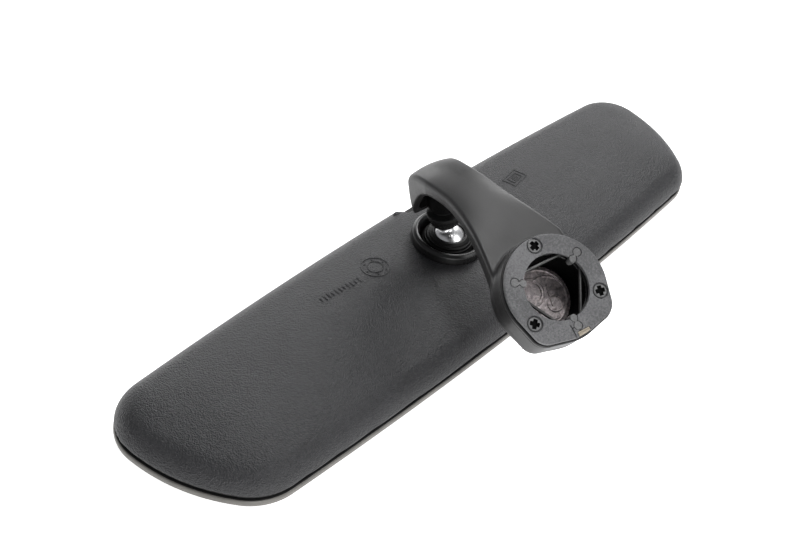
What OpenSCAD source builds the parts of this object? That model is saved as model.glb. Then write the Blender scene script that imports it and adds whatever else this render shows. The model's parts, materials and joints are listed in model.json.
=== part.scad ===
// Interior rearview mirror, lying glass down. The glass face is on z = 0,
// +X runs along the glass, the arm and its windscreen foot reach towards -Y.
// The origin is the centre of the glass face. All sizes are millimetres.

/* [Mirror head] */
// Half length of the head at its shorter edge, on the arm side
near_half = 120; // [112:1:126]
// Half length of the head at its longer edge, on the lever side
far_half = 128; // [120:1:134]
// Width between the ends of the two long edges
head_w = 55.2; // [54:0.2:60]
// Corner radius on the arm side
near_r = 19; // [17:0.5:22]
// Corner radius on the lever side
far_r = 16; // [15:0.5:20]
// Outward bow of the long edge on the arm side
near_bow = 2.9; // [1:0.1:4]
// Outward bow of the long edge on the lever side
far_bow = 3.7; // [1:0.1:4.5]
// Angle at each corner over which the end begins to bulge
end_swell = 17; // [8:1:20]
// Height of the head's back above the glass face
head_h = 13.9; // [13.6:0.1:15]
// Wall of the rear housing
wall = 2; // [1.6:0.1:2.2]
// Thickness of the glass
glass_t = 2.5; // [2:0.1:2.6]

/* [Ball joint] */
// Radius of the ball
ball_r = 6.5; // [6:0.1:6.5]
// Distance of the ball from the head's long centre line
ball_y = 5.1; // [4:0.1:6]
// Height of the ball's centre above the glass face
ball_z = 12.8; // [12.6:0.1:13.2]
// Stored turn of the arm across the head
rest_swivel = -18.4; // [-25:0.1:0]
// Stored nod of the arm
rest_nod = -8.8; // [-12:0.1:0]
// Stored roll of the arm
rest_roll = -12; // [-14:0.1:0]

/* [Arm and foot] */
// Half width of the arm above the ball
arm_half = 7.9; // [7.6:0.1:9]
// Reach of the foot's centre from the ball's axis
foot_reach = 61; // [59:0.5:64]
// Height of the foot's face above the ball's centre
foot_rise = 24.9; // [24:0.1:27]
// Lean of the foot's face
foot_lean = 37.7; // [35:0.1:40]
// Radius of the foot's round side
foot_r = 15.6; // [15:0.1:17]
// Radius of the socket for the windscreen button
socket_r = 9.9; // [9.5:0.1:10]
// Depth of the socket
socket_depth = 13.7; // [12:0.1:13.7]

/* [Hidden] */
$fn = 64;

slice = 0.01;
eps = 0.01;
ball = [0, ball_y, ball_z];

// Levels of the head's layers
adhesive_top = glass_t + 0.4;
seam_z = adhesive_top + 1.4;
edge_rise = head_h - 0.84;
edge_in = 13.5;
inner_top = head_h - wall;

// Recess for the day and night lever
recess_x = [2, 37];
recess_y = 24;
recess_wall = 1.7;
lever_x = [17, 29];
lever_y = 19.5;
lever_z = 8;
pin_r = 1;
hub_r = 2;
running = 0.05;

// Swinging bracket
hinge_y = -21;
hinge_z = 7.1;
plate_z = 6.6;
plate_t = 1;
knuckle_r = 2.2;

// Ball seats and cup
cup_in = 7.4;
cup_out = 8.1;
seat_in = ball_r + 0.15;
seat_out = 7.25;
flange_r = 12.2;
rivet_ring = 10.4;
rivet_r = 1;
opening_r = 10.1;

// Foot: corners, screws, spring posts and spring
foot_corner = [8.7, -9.1];
foot_corner_r = 4.8;
screw_ring = 13.2;
post_ring = 12.5;
post_r = 1.25;
lug_ring = 10;
lug_r = 1.1;
wire_r = 0.5;
wire_z = -2.5;
cover_t = 1.2;
gasket_t = 0.5;
stud_r = 2.2;
boss_r = 4.9;
boss_low = 15.4;

// Head outline: corners joined by shallow bows, set in by an inset
near_c = [near_half - near_r, near_r - head_w / 2];
far_c = [far_half - far_r, head_w / 2 - far_r];
near_k = atan(2 * near_bow / near_half);
far_k = atan(2 * far_bow / far_half);
end_d = far_c - near_c;
end_dir = atan2(end_d.y, end_d.x) - 90 + asin((near_r - far_r) / norm(end_d));

function polar(c, r, a) = [c.x + r * cos(a), c.y + r * sin(a)];
function arc(c, r, a0, a1, n) = [for (i = [0:n]) polar(c, r, a0 + (a1 - a0) * i / n)];
function bow(p, q, dir, h, n) =
    [for (i = [1:n - 1]) let (t = i / n) p + (q - p) * t + 4 * t * (1 - t) * h * dir];
function mirrored(pts) = [for (i = [len(pts) - 1:-1:0]) [-pts[i].x, pts[i].y]];
function right_side(s) =
    let (dir = [cos(end_dir), sin(end_dir)],
         low = arc(near_c, near_r - s, -90 + near_k, end_dir - end_swell, 8),
         high = arc(far_c, far_r - s, end_dir + end_swell, 90 - far_k, 8),
         swell = norm(high[0] - low[8]) * tan(end_swell) / 4)
    concat(low, bow(low[8], high[0], dir, swell, 8), high);
function head_outline(s) =
    let (r = right_side(s), l = mirrored(r), n = len(r) - 1)
    concat(r, bow(r[n], l[0], [0, 1], far_bow, 12), l, bow(l[n], r[0], [0, -1], near_bow, 12));

// Arm side curves, in the arm's own frame
function bezier(a, b, c, d, n) =
    [for (i = [0:n]) let (t = i / n, u = 1 - t)
        a * u * u * u + 3 * b * u * u * t + 3 * c * u * t * t + d * t * t * t];
arm_crest = concat(bezier([4.4, 14], [5, 17], [6.3, 20.6], [6.2, 26], 5),
                   bezier([6.2, 26], [6, 31.5], [-2, 34.2], [-14, 34.4], 12),
                   bezier([-14, 34.4], [-28, 34.4], [-38, 28.6], [-52, 22.4], 12));
arm_under = concat(bezier([-48, 15], [-40, 20], [-30, 28], [-15, 28.6], 12),
                   bezier([-15, 28.6], [-6, 28.4], [3.1, 27.4], [3.7, 14], 8));
arm_tip = 6.1;
arm_wall = 2.2;
arm_widest = foot_r - 0.4;
flare_start = 16;
flare_run = 26;
flare_gain = 5.2;

// The arm leaves the hood a little to one side and swings back to the foot
bend_start = 6;
bend_slope = 0.085;
hood_shift = -1.3;
function arm_width(p) = arm_half + flare_gain * pow(max(0, p - flare_start) / flare_run, 1.6);
function arm_centre(p) = hood_shift + bend_slope * max(0, p - bend_start);
function arm_edge(p, side) = side * min(arm_widest, arm_width(p) + side * arm_centre(p));
function arm_plan(s, p0, p1) =
    let (n = 16, at = [for (i = [0:n]) p0 + (p1 - p0) * i / n])
    concat([for (p = at) [arm_edge(p, 1) - s, -p]],
           [for (i = [n:-1:0]) [arm_edge(at[i], -1) + s, -at[i]]]);

module head_slab(s, z0, z1) {
    translate([0, 0, z0])
        linear_extrude(height = z1 - z0)
            polygon(head_outline(s));
}

module span(x, y, z) {
    translate([x[0], y[0], z[0]])
        cube([x[1] - x[0], y[1] - y[0], z[1] - z[0]]);
}

module x_rod(r, x, y, z) {
    translate([x[0], y, z])
        rotate([0, 90, 0])
            cylinder(r = r, h = x[1] - x[0]);
}

module pillow(t) {
    hull()
        for (a = [15.2, 25, 38, 52, 68, 90])
            translate([0, 0, head_h - edge_rise * (1 - sin(a)) - t])
                linear_extrude(height = slice)
                    polygon(head_outline(t + edge_in * (1 - cos(a))));
}

// Glass down to its ground edge
module mirror_glass() {
    color("lightsteelblue")
        hull() {
            head_slab(0.6, 0, slice);
            head_slab(0.1, 0.5, glass_t - 0.4);
            head_slab(0.4, glass_t - slice, glass_t);
        }
}

module glass_adhesive() {
    color("dimgray") head_slab(2, glass_t, adhesive_top);
}

carrier_screw_xy = [for (x = [-96, -52, 52, 96], y = [-15, 13]) [x, y]];

module recess_space(grow, z0, z1) {
    span([recess_x[0] - grow, recess_x[1] + grow], [recess_y - grow, 40], [z0, z1]);
}

module pin_ear(x, y, z, half) {
    difference() {
        span(x, [y - half, y + half], [seam_z - eps, z + half]);
        x_rod(pin_r, [x[0] - 1, x[1] + 1], y, z);
    }
}

module glass_carrier() {
    color("black") {
        difference() {
            union() {
                head_slab(1.1, adhesive_top, seam_z);
                difference() {
                    head_slab(wall + 0.7, seam_z - eps, seam_z + 1.2);
                    head_slab(wall + 2.3, seam_z - 1, seam_z + 2);
                    recess_space(recess_wall + 0.4, seam_z, seam_z + 2);
                }
            }
            for (p = carrier_screw_xy)
                translate([p.x, p.y, adhesive_top - 1])
                    cylinder(r = 1.2, h = 4);
        }
        pin_ear([-24, -20.3], hinge_y, hinge_z, 2.2);
        pin_ear([20.3, 24], hinge_y, hinge_z, 2.2);
        pin_ear([13, 16.6], lever_y, lever_z, 1.9);
        pin_ear([29.4, 33], lever_y, lever_z, 1.9);
    }
}

module carrier_screws() {
    color("silver")
        for (p = carrier_screw_xy)
            translate([p.x, p.y, adhesive_top])
                cylinder(r = 1.2, h = 6.6);
}

// Pillow edged back with its socket opening and lever recess
module rear_housing() {
    color("#3c3d40") {
        difference() {
            pillow(0);
            difference() {
                pillow(wall);
                recess_space(recess_wall, 0, 20);
            }
            head_slab(wall + 0.32, 0, seam_z + 1.6);
            translate([0, 0, -1])
                head_slab(-1, 0, seam_z + 1);
            recess_space(0, 0, 20);
            span([lever_x[0] - 0.6, lever_x[1] + 0.6], [recess_y - 4, recess_y + 1],
                 [seam_z - 1, lever_z + 2.6]);
            translate([0, ball_y, 0])
                cylinder(r = opening_r, h = 20);
        }
        for (p = carrier_screw_xy)
            translate([p.x, p.y, seam_z])
                difference() {
                    cylinder(r = 2.8, h = inner_top - seam_z + 0.4);
                    translate([0, 0, -1])
                        cylinder(r = 1.2, h = 7.6);
                }
    }
}

collar_z = head_h + slice;

// Raised round rim that trims the socket opening
module socket_collar() {
    color("#2b2b2d")
        translate([0, ball_y, 0])
            rotate_extrude()
                polygon(concat([[9.5, inner_top], [opening_r - 0.02, inner_top],
                                [opening_r - 0.02, collar_z], [12.4, collar_z]],
                               arc([11.1, 15.9], 1.3, 0, 135, 8), [[9.7, 15.9], [9.5, 15.2]]));
}

module hinge_pin() {
    color("silver") x_rod(pin_r, [-24, 24], hinge_y, hinge_z);
}

module lever_pin() {
    color("silver") x_rod(pin_r, [13, 33], lever_y, lever_z);
}

// Leaf that steadies the bracket
module detent_spring() {
    color("lightgray")
        translate([0, 3, 0])
            rotate([90, 0, 0])
                linear_extrude(height = 6)
                    polygon([[-44, seam_z], [-36, seam_z], [-29, 5.7], [-19.5, 5.7],
                             [-19.5, 6.1], [-29.2, 6.1], [-36.2, seam_z + 0.4], [-44, seam_z + 0.4]]);
}

module rivet_places() {
    for (a = [30, 150, 270])
        translate(ball)
            rotate([0, 0, a])
                translate([rivet_ring, 0, -ball_z])
                    children();
}

flange_z = plate_z + plate_t;

// Steel plate that swings on the hinge pin and carries the ball's cup
module toggle_bracket() {
    color("slategray")
        difference() {
            union() {
                span([-18, 18], [hinge_y + 1.5, 13], [plate_z, flange_z]);
                span([-18, 31], [-16, 13], [plate_z, flange_z]);
                span([-24, -17], [-4, 4], [plate_z, flange_z]);
                x_rod(knuckle_r, [-19.9, -6], hinge_y, hinge_z);
                x_rod(knuckle_r, [6, 19.9], hinge_y, hinge_z);
            }
            x_rod(pin_r + running, [-25, 25], hinge_y, hinge_z);
            translate([0, ball_y, 0])
                cylinder(r = 6.4, h = 20);
            rivet_places() cylinder(r = rivet_r, h = 20);
            span([-5.6, 5.6], [hinge_y - 3, hinge_y + 3], [0, 20]);
        }
}

module ball_cup() {
    color("silver")
        difference() {
            union() {
                intersection() {
                    translate(ball) sphere(r = cup_out);
                    span([-9, 9], [-9 + ball_y, 9 + ball_y], [0, flange_z + 0.5]);
                }
                translate([0, ball_y, flange_z])
                    cylinder(r = flange_r, h = 1);
            }
            translate(ball) sphere(r = cup_in);
            rivet_places() cylinder(r = rivet_r, h = 20);
        }
}

clamp_z = flange_z + 1;
lip_z = ball_z + 4.2;

module cup_clamp() {
    color("gray")
        difference() {
            translate([0, ball_y, 0]) {
                translate([0, 0, clamp_z])
                    cylinder(r = flange_r, h = 0.6);
                translate([0, 0, clamp_z])
                    cylinder(r = cup_out, h = 14.4 - clamp_z);
                translate([0, 0, 14.4])
                    cylinder(r1 = cup_out, r2 = 6.2, h = lip_z - 14.4);
            }
            intersection() {
                translate(ball) sphere(r = cup_in);
                span([-9, 9], [-9 + ball_y, 9 + ball_y], [0, ball_z + 3.2]);
            }
            translate(ball) sphere(r = ball_r + 0.4);
            rivet_places() cylinder(r = rivet_r, h = 20);
        }
}

module cup_rivets() {
    color("lightgray")
        rivet_places() {
            translate([0, 0, plate_z - 0.5])
                cylinder(r = 1.7, h = 0.5);
            translate([0, 0, plate_z])
                cylinder(r = rivet_r, h = clamp_z + 0.6 - plate_z);
            translate([0, 0, clamp_z + 0.6])
                cylinder(r = 1.7, h = 0.4);
        }
}

// Ribbed rubber skirt around the cup's mouth
module socket_boot() {
    color("#1b1b1c")
        translate([0, ball_y, 0])
            rotate_extrude()
                polygon([[cup_out, 13.2], [8.7, 13.2], [8.7, 14.5], [8.3, 14.9], [8.3, 15.5], [7.7, 15.5],
                         [7.7, 16.3], [7.1, 16.3], [7.1, 16.9], [6.6, 17.3], [5.3, 17.4], [5.3, lip_z],
                         [6.2, lip_z], [cup_out, 14.4]]);
}

// Day and night lever: hub on its pin, nose under the bracket, finger tab outside
module day_night_lever() {
    color("#2e2e30")
        difference() {
            union() {
                x_rod(hub_r, lever_x, lever_y, lever_z);
                translate([lever_x[0], 0, 0])
                    rotate([90, 0, 90])
                        linear_extrude(height = lever_x[1] - lever_x[0])
                            polygon([[lever_y, lever_z + 1], [lever_y, lever_z - 1.6], [11.5, 4.7],
                                     [11.3, 5.2], [11.5, 6.1], [13.4, 6.1]]);
                translate([lever_x[0], 0, 0])
                    rotate([90, 0, 90])
                        linear_extrude(height = lever_x[1] - lever_x[0])
                            polygon([[lever_y, lever_z - 1], [32.6, lever_z - 1], [33.6, lever_z - 0.2],
                                     [33.6, lever_z + 0.6], [32.6, lever_z + 1.6], [31.4, lever_z + 1],
                                     [lever_y, lever_z + 1]]);
            }
            x_rod(pin_r + running, [0, 50], lever_y, lever_z);
        }
}

module seat_band(z0, z1) {
    translate(ball)
        intersection() {
            difference() {
                sphere(r = seat_out);
                sphere(r = seat_in);
            }
            span([-8, 8], [-8, 8], [z0, z1]);
        }
}

module lower_seat() {
    color("ivory")
        difference() {
            seat_band(-8, -4);
            translate([0, ball_y, 0])
                cylinder(r = 1.5, h = 12);
        }
}

module upper_seat() {
    color("ivory") seat_band(-1.8, 0.6);
}

// Frames of the arm and of the foot
module at_arm() {
    translate(ball)
        rotate([0, 0, rest_swivel])
            rotate([rest_nod, 0, 0])
                rotate([0, rest_roll, 0])
                    children();
}

module foot_frame() {
    translate([0, -foot_reach, foot_rise])
        rotate([foot_lean, 0, 0])
            children();
}

module ball_stud() {
    color("gainsboro")
        at_arm() {
            sphere(r = ball_r);
            cylinder(r = stud_r, h = 28);
        }
}

module stud_sleeve() {
    color("#232324")
        at_arm()
            rotate_extrude()
                polygon([[stud_r, 8.2], [3.7, 8.2], [4.5, 8.9], [5.2, 10.6], [5.8, 12.4], [5.8, 13.3],
                         [3.3, 13.8], [3.3, boss_low], [stud_r, boss_low]]);
}

module foot_outline(grow) {
    hull() {
        circle(r = foot_r + grow);
        for (s = [-1, 1])
            translate([s * foot_corner.x, foot_corner.y])
                circle(r = foot_corner_r + grow);
    }
}

module three_way(radius, start) {
    for (k = [0:2])
        rotate([0, 0, start + 120 * k])
            translate([radius, 0, 0])
                children();
}

// Solid of the arm seen from the side, cut to its plan
module arm_strap() {
    intersection() {
        translate([-20, 0, 0])
            rotate([90, 0, 90])
                linear_extrude(height = 40)
                    polygon(concat(arm_crest, arm_under));
        linear_extrude(height = 45)
            polygon(arm_plan(0, -arm_tip, 56));
    }
}

module arm_hollow() {
    intersection() {
        translate([-20, 0, -2.4])
            rotate([90, 0, 90])
                linear_extrude(height = 40)
                    polygon(concat(arm_crest, [[-52, 0], [4.4, 0]]));
        linear_extrude(height = 45)
            polygon(arm_plan(arm_wall, arm_wall - arm_tip, 41));
    }
}

arm_head_low = -17;
arm_head_step = -11.5;

module arm_head() {
    foot_frame() {
        translate([0, 0, arm_head_step])
            linear_extrude(height = -arm_head_step - cover_t - gasket_t)
                foot_outline(0.3);
        translate([0, 0, arm_head_low])
            cylinder(r1 = 12, r2 = 15.4, h = arm_head_step - arm_head_low + eps);
    }
}

module arm_body() {
    color("#3a3b3d")
        at_arm()
            difference() {
                union() {
                    difference() {
                        union() {
                            arm_strap();
                            arm_head();
                        }
                        arm_hollow();
                    }
                    translate([0, 0, boss_low])
                        cylinder(r = boss_r, h = 16);
                }
                cylinder(r = stud_r, h = 28);
                foot_frame() {
                    translate([0, 0, -socket_depth - 1.5])
                        cylinder(r = socket_r, h = 20);
                    translate([0, 0, wire_z - 0.7])
                        linear_extrude(height = 4)
                            hull()
                                three_way(post_ring, 30)
                                    circle(r = 2.6);
                    three_way(screw_ring, 90)
                        translate([0, 0, -8])
                            cylinder(r = 1.15, h = 10);
                }
            }
}

module foot_piece() {
    at_arm() foot_frame() children();
}

module foot_gasket() {
    color("black")
        foot_piece()
            translate([0, 0, -cover_t - gasket_t])
                difference() {
                    linear_extrude(height = gasket_t)
                        foot_outline(-0.5);
                    translate([0, 0, -1])
                        cylinder(r = socket_r + 0.4, h = 3);
                    three_way(screw_ring, 90)
                        translate([0, 0, -1])
                            cylinder(r = 1.15, h = 3);
                    translate([0, 0, -1])
                        plug_shape(0.15, 3);
                }
}

module plug_shape(grow, h) {
    for (a = [30, 150, 270])
        rotate([0, 0, a]) {
            translate([post_ring, 0, 0])
                cylinder(r = post_r + grow, h = h);
            translate([lug_ring, 0, 0])
                cylinder(r = lug_r + grow, h = h);
            translate([lug_ring, -0.4 - grow, 0])
                cube([post_ring - lug_ring, 0.8 + 2 * grow, h]);
        }
}

tab_x = [-1.2, 3];
tab_y = -14;

// Grained cover over the spring, with a split and a notch at its outer edge
module foot_cover_plate() {
    color("#8a8a8d")
        foot_piece()
            translate([0, 0, -cover_t])
                difference() {
                    linear_extrude(height = cover_t)
                        foot_outline(0);
                    translate([0, 0, -1])
                        cylinder(r = socket_r, h = 4);
                    translate([0, 0, -1])
                        plug_shape(0.15, 4);
                    three_way(screw_ring, 90) {
                        translate([0, 0, -1])
                            cylinder(r = 1.15, h = 4);
                        translate([0, 0, 0.5])
                            cylinder(r = 2.4, h = 4);
                    }
                    span([tab_x[0], tab_x[1]], [-20, tab_y], [-1, 4]);
                    span([-2.2, -2], [-20, post_r - post_ring - 0.6], [-1, 4]);
                    span([-2.2, 0], [-post_ring - 0.1, 0.1 - post_ring], [-1, 4]);
                }
}

module foot_screws() {
    color("#5c5c5f")
        foot_piece()
            three_way(screw_ring, 90)
                difference() {
                    union() {
                        translate([0, 0, -cover_t + 0.5])
                            cylinder(r = 2, h = 0.65);
                        translate([0, 0, -8])
                            cylinder(r = 1.15, h = 8 - cover_t + 0.5);
                    }
                    for (a = [0, 90])
                        rotate([0, 0, a + 20])
                            translate([-1.2, -0.25, -0.6])
                                cube([2.4, 0.5, 2]);
                }
}

module spring_plugs() {
    color("#9a9a9d")
        foot_piece()
            translate([0, 0, wire_z - 0.7])
                plug_shape(0, 0.7 - wire_z - 0.05);
}

// Three sided wire spring that snaps round the windscreen button
module lock_spring() {
    bend_r = post_r + wire_r + 0.05;
    run = post_ring * sqrt(3);
    color("#b8b8ba")
        foot_piece()
            translate([0, 0, wire_z])
                difference() {
                    for (k = [0:2])
                        rotate([0, 0, 120 * k]) {
                            rotate([0, 0, 30])
                                translate([post_ring, 0, 0])
                                    rotate([0, 0, -60])
                                        rotate_extrude(angle = 120)
                                            translate([bend_r, 0])
                                                circle(r = wire_r, $fn = 24);
                            rotate([0, 0, 90])
                                translate([post_ring / 2 + bend_r, 0, 0])
                                    rotate([90, 0, 0])
                                        cylinder(r = wire_r - 0.02, h = run + 0.3, center = true, $fn = 24);
                        }
                    rotate([0, 0, 90])
                        translate([post_ring / 2 + bend_r, 3, 0])
                            cube([3, 1.2, 3], center = true);
                }
}

// Cast disc at the bottom of the socket
module socket_disc() {
    color("#a39b98")
        foot_piece()
            translate([0, 0, -socket_depth - 1.5])
                difference() {
                    union() {
                        cylinder(r = socket_r, h = 0.6);
                        cylinder(r = 8.8, h = 1.5);
                    }
                    translate([-1.7, 2.5, 1])
                        cylinder(r = 3.2, h = 2);
                }
}

module release_tab() {
    color("#c2b7a8")
        foot_piece()
            span([tab_x[0] + 0.15, tab_x[1] - 0.15], [-15.2, tab_y - 0.1], [-cover_t, -0.1]);
}

mirror_glass();
glass_adhesive();
glass_carrier();
carrier_screws();
rear_housing();
socket_collar();
hinge_pin();
lever_pin();
detent_spring();
toggle_bracket();
ball_cup();
cup_clamp();
cup_rivets();
socket_boot();
day_night_lever();
lower_seat();
upper_seat();
ball_stud();
stud_sleeve();
arm_body();
foot_gasket();
foot_cover_plate();
foot_screws();
spring_plugs();
lock_spring();
socket_disc();
release_tab();
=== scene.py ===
import json
import math

import bpy
import numpy as np
from mathutils import Matrix, Vector


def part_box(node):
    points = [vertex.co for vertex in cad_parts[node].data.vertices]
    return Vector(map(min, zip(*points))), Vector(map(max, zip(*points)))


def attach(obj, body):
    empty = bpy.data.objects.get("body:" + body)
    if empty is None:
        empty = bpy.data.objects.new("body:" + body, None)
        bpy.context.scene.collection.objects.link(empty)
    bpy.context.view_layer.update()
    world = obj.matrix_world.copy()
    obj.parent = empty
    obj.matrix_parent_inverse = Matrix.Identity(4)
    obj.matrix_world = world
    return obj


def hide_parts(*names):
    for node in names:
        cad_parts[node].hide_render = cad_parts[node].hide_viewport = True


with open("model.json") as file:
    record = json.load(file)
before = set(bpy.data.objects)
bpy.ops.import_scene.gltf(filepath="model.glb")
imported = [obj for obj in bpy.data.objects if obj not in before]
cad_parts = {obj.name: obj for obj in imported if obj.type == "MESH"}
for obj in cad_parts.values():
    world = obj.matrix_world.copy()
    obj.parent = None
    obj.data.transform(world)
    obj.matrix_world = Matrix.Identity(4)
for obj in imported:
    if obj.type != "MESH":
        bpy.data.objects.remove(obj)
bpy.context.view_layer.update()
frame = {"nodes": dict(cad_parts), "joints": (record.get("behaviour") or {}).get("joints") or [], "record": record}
record = frame["record"]
joints = {j["name"]: j for j in frame["joints"]}
MM = 0.001
FINE = 1.0


# ---------------------------------------------------------------- sizes, in millimetres
def box_mm(node):
    low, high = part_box(node)
    return np.array(low) / MM, np.array(high) / MM


housing_high = box_mm("rear_housing")[1]
HEAD_TOP = housing_high[2]
SEAM = box_mm("glass_carrier")[0][2] + 1.4
GLASS_T = box_mm("mirror_glass")[1][2]
BALL = np.array(joints["ball_swivel"]["pos_m"]) / MM
NEAR_HALF, FAR_HALF, HEAD_W = 120.0, 128.0, 55.2
NEAR_R, FAR_R = 19.0, 16.0
NEAR_BOW, FAR_BOW, END_BOW_DEG = 2.9, 3.7, 17.0
EDGE_R, CROWN_DROP, CROWN_RUN = 9.5, 2.38, 20.3
WALL = 2.0
FOOT_R, SOCKET_R, SOCKET_DEPTH = 15.6, 9.9, 13.7
COVER_T = 1.2

arm_turn = (
    Matrix.Rotation(math.radians(-18.4), 4, "Z")
    @ Matrix.Rotation(math.radians(-8.8), 4, "X")
    @ Matrix.Rotation(math.radians(-12.0), 4, "Y")
)
ARM = Matrix.Translation(Vector(BALL)) @ arm_turn
FOOT = ARM @ Matrix.Translation((0, -61.0, 24.9)) @ Matrix.Rotation(math.radians(37.7), 4, "X")
HEAD = Matrix.Identity(4)


# ---------------------------------------------------------------- mesh tools
def add_mesh(name, points, faces, matrix=HEAD, smooth=True):
    """A mesh object from points in millimetres, placed by matrix."""
    m = np.array(matrix)
    placed = (np.asarray(points, float) @ m[:3, :3].T + m[:3, 3]) * MM
    mesh = bpy.data.meshes.new(name)
    mesh.from_pydata(placed.tolist(), [], [list(map(int, f)) for f in faces])
    mesh.validate()
    mesh.polygons.foreach_set("use_smooth", [smooth] * len(mesh.polygons))
    obj = bpy.data.objects.new(name, mesh)
    bpy.context.scene.collection.objects.link(obj)
    return obj


def smax(a, b, r):
    """Overlap of two shapes with its edge rounded to radius r."""
    if r <= 0:
        return np.maximum(a, b)
    u, v = a + r, b + r
    return (
        np.minimum(np.maximum(u, v), 0)
        + np.sqrt(np.maximum(u, 0) ** 2 + np.maximum(v, 0) ** 2)
        - r
    )


def smin(a, b, r):
    """Union of two shapes with a fillet of radius r."""
    return -smax(-a, -b, r)


def polygon_distance(poly, x, y):
    """Signed distance of points to a closed outline, negative inside."""
    shape = np.broadcast(x, y).shape
    px = np.broadcast_to(x, shape).ravel()
    py = np.broadcast_to(y, shape).ravel()
    a = np.asarray(poly, float)
    b = np.roll(a, -1, axis=0)
    e = b - a
    ee = np.maximum((e**2).sum(1), 1e-12)
    out = np.empty(px.size)
    chunk = max(1, 4_000_000 // len(a))
    for i in range(0, px.size, chunk):
        qx, qy = px[i : i + chunk, None], py[i : i + chunk, None]
        wx, wy = qx - a[:, 0], qy - a[:, 1]
        t = np.clip((wx * e[:, 0] + wy * e[:, 1]) / ee, 0, 1)
        d2 = (wx - t * e[:, 0]) ** 2 + (wy - t * e[:, 1]) ** 2
        up = (a[:, 1] <= qy) != (b[:, 1] <= qy)
        side = wx * e[:, 1] - wy * e[:, 0]
        inside = (up & ((side < 0) == (e[:, 1] > 0))).sum(1) % 2 == 1
        d = np.sqrt(d2.min(1))
        out[i : i + chunk] = np.where(inside, -d, d)
    return out.reshape(shape)


class Outline:
    """Signed distance to an outline, read from a fine grid."""

    def __init__(self, poly, pad=6.0, cell=0.3):
        poly = np.asarray(poly, float)
        self.cell, self.low = cell, poly.min(0) - pad
        n = np.ceil((poly.max(0) + pad - self.low) / cell).astype(int) + 1
        gx = self.low[0] + cell * np.arange(n[0])
        gy = self.low[1] + cell * np.arange(n[1])
        self.grid = polygon_distance(poly, gx[:, None], gy[None, :])

    def __call__(self, x, y):
        g = self.grid
        u = np.clip((x - self.low[0]) / self.cell, 0, g.shape[0] - 1.001)
        v = np.clip((y - self.low[1]) / self.cell, 0, g.shape[1] - 1.001)
        i, j = u.astype(int), v.astype(int)
        u, v = u - i, v - j
        return (
            g[i, j] * (1 - u) * (1 - v)
            + g[i + 1, j] * u * (1 - v)
            + g[i, j + 1] * (1 - u) * v
            + g[i + 1, j + 1] * u * v
        )


def solid(name, f, low, high, step, matrix=HEAD, rounds=3):
    """A smooth closed mesh of the shape where f is negative."""
    low, high = np.array(low, float), np.array(high, float)
    step = np.broadcast_to(np.array(step, float) * FINE, 3)
    n = np.ceil((high - low) / step).astype(int) + 1
    axes = [low[i] + step[i] * np.arange(n[i]) for i in range(3)]
    v = f(axes[0][:, None, None], axes[1][None, :, None], axes[2][None, None, :])
    v = np.broadcast_to(v, tuple(n)).astype(np.float32)
    inside = v < 0
    corners = [(i, j, k) for i in (0, 1) for j in (0, 1) for k in (0, 1)]
    count = np.zeros(tuple(n - 1), np.int8)
    for i, j, k in corners:
        count += inside[i : n[0] - 1 + i, j : n[1] - 1 + j, k : n[2] - 1 + k]
    active = (count > 0) & (count < 8)
    index = np.full(active.shape, -1, np.int64)
    cells = np.argwhere(active)
    index[active] = np.arange(len(cells))
    total, hits = np.zeros((len(cells), 3)), np.zeros(len(cells))
    for axis in range(3):
        unit = np.eye(3, dtype=int)[axis]
        others = [i for i in range(3) if i != axis]
        for s, t in ((0, 0), (0, 1), (1, 0), (1, 1)):
            start = cells.copy()
            start[:, others[0]] += s
            start[:, others[1]] += t
            end = start + unit
            v0, v1 = v[tuple(start.T)], v[tuple(end.T)]
            cross = (v0 < 0) != (v1 < 0)
            share = v0[cross] / (v0[cross] - v1[cross])
            total[cross] += start[cross] + share[:, None] * unit
            hits[cross] += 1
    points = low + step * total / hits[:, None]
    quads = []
    for axis in range(3):
        b, c = (axis + 1) % 3, (axis + 2) % 3
        take = [slice(None)] * 3
        take[axis] = slice(0, n[axis] - 1)
        first = inside[tuple(take)]
        take[axis] = slice(1, n[axis])
        second = inside[tuple(take)]
        edge = np.argwhere(first != second)
        keep = (edge[:, b] > 0) & (edge[:, b] < n[b] - 1) & (edge[:, c] > 0) & (edge[:, c] < n[c] - 1)
        edge = edge[keep]
        outward = first[tuple(edge.T)]
        ring = []
        for db, dc in ((-1, -1), (0, -1), (0, 0), (-1, 0)):
            cell = edge.copy()
            cell[:, b] += db
            cell[:, c] += dc
            ring.append(index[tuple(cell.T)])
        q = np.stack(ring, 1)
        quads.append(np.where(outward[:, None], q, q[:, ::-1]))
    faces = np.concatenate(quads)
    h = 0.02
    for _ in range(rounds):
        value = f(points[:, 0], points[:, 1], points[:, 2])
        grad = np.empty_like(points)
        for axis in range(3):
            moved = points.copy()
            moved[:, axis] += h
            grad[:, axis] = (f(moved[:, 0], moved[:, 1], moved[:, 2]) - value) / h
        length2 = np.maximum((grad**2).sum(1), 0.05)
        shift = -(value / length2)[:, None] * grad
        reach = np.sqrt((shift**2).sum(1))
        limit = 0.4 * step.min()
        shift *= np.minimum(1, limit / np.maximum(reach, 1e-9))[:, None]
        points = points + shift
    return add_mesh(name, points, faces, matrix)


def grid_faces(rings, n, closed_rings=False):
    """Quads between rings of n points each."""
    last = rings if closed_rings else rings - 1
    return [
        (i * n + j, i * n + (j + 1) % n, (i + 1) % rings * n + (j + 1) % n, (i + 1) % rings * n + j)
        for i in range(last)
        for j in range(n)
    ]


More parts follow.
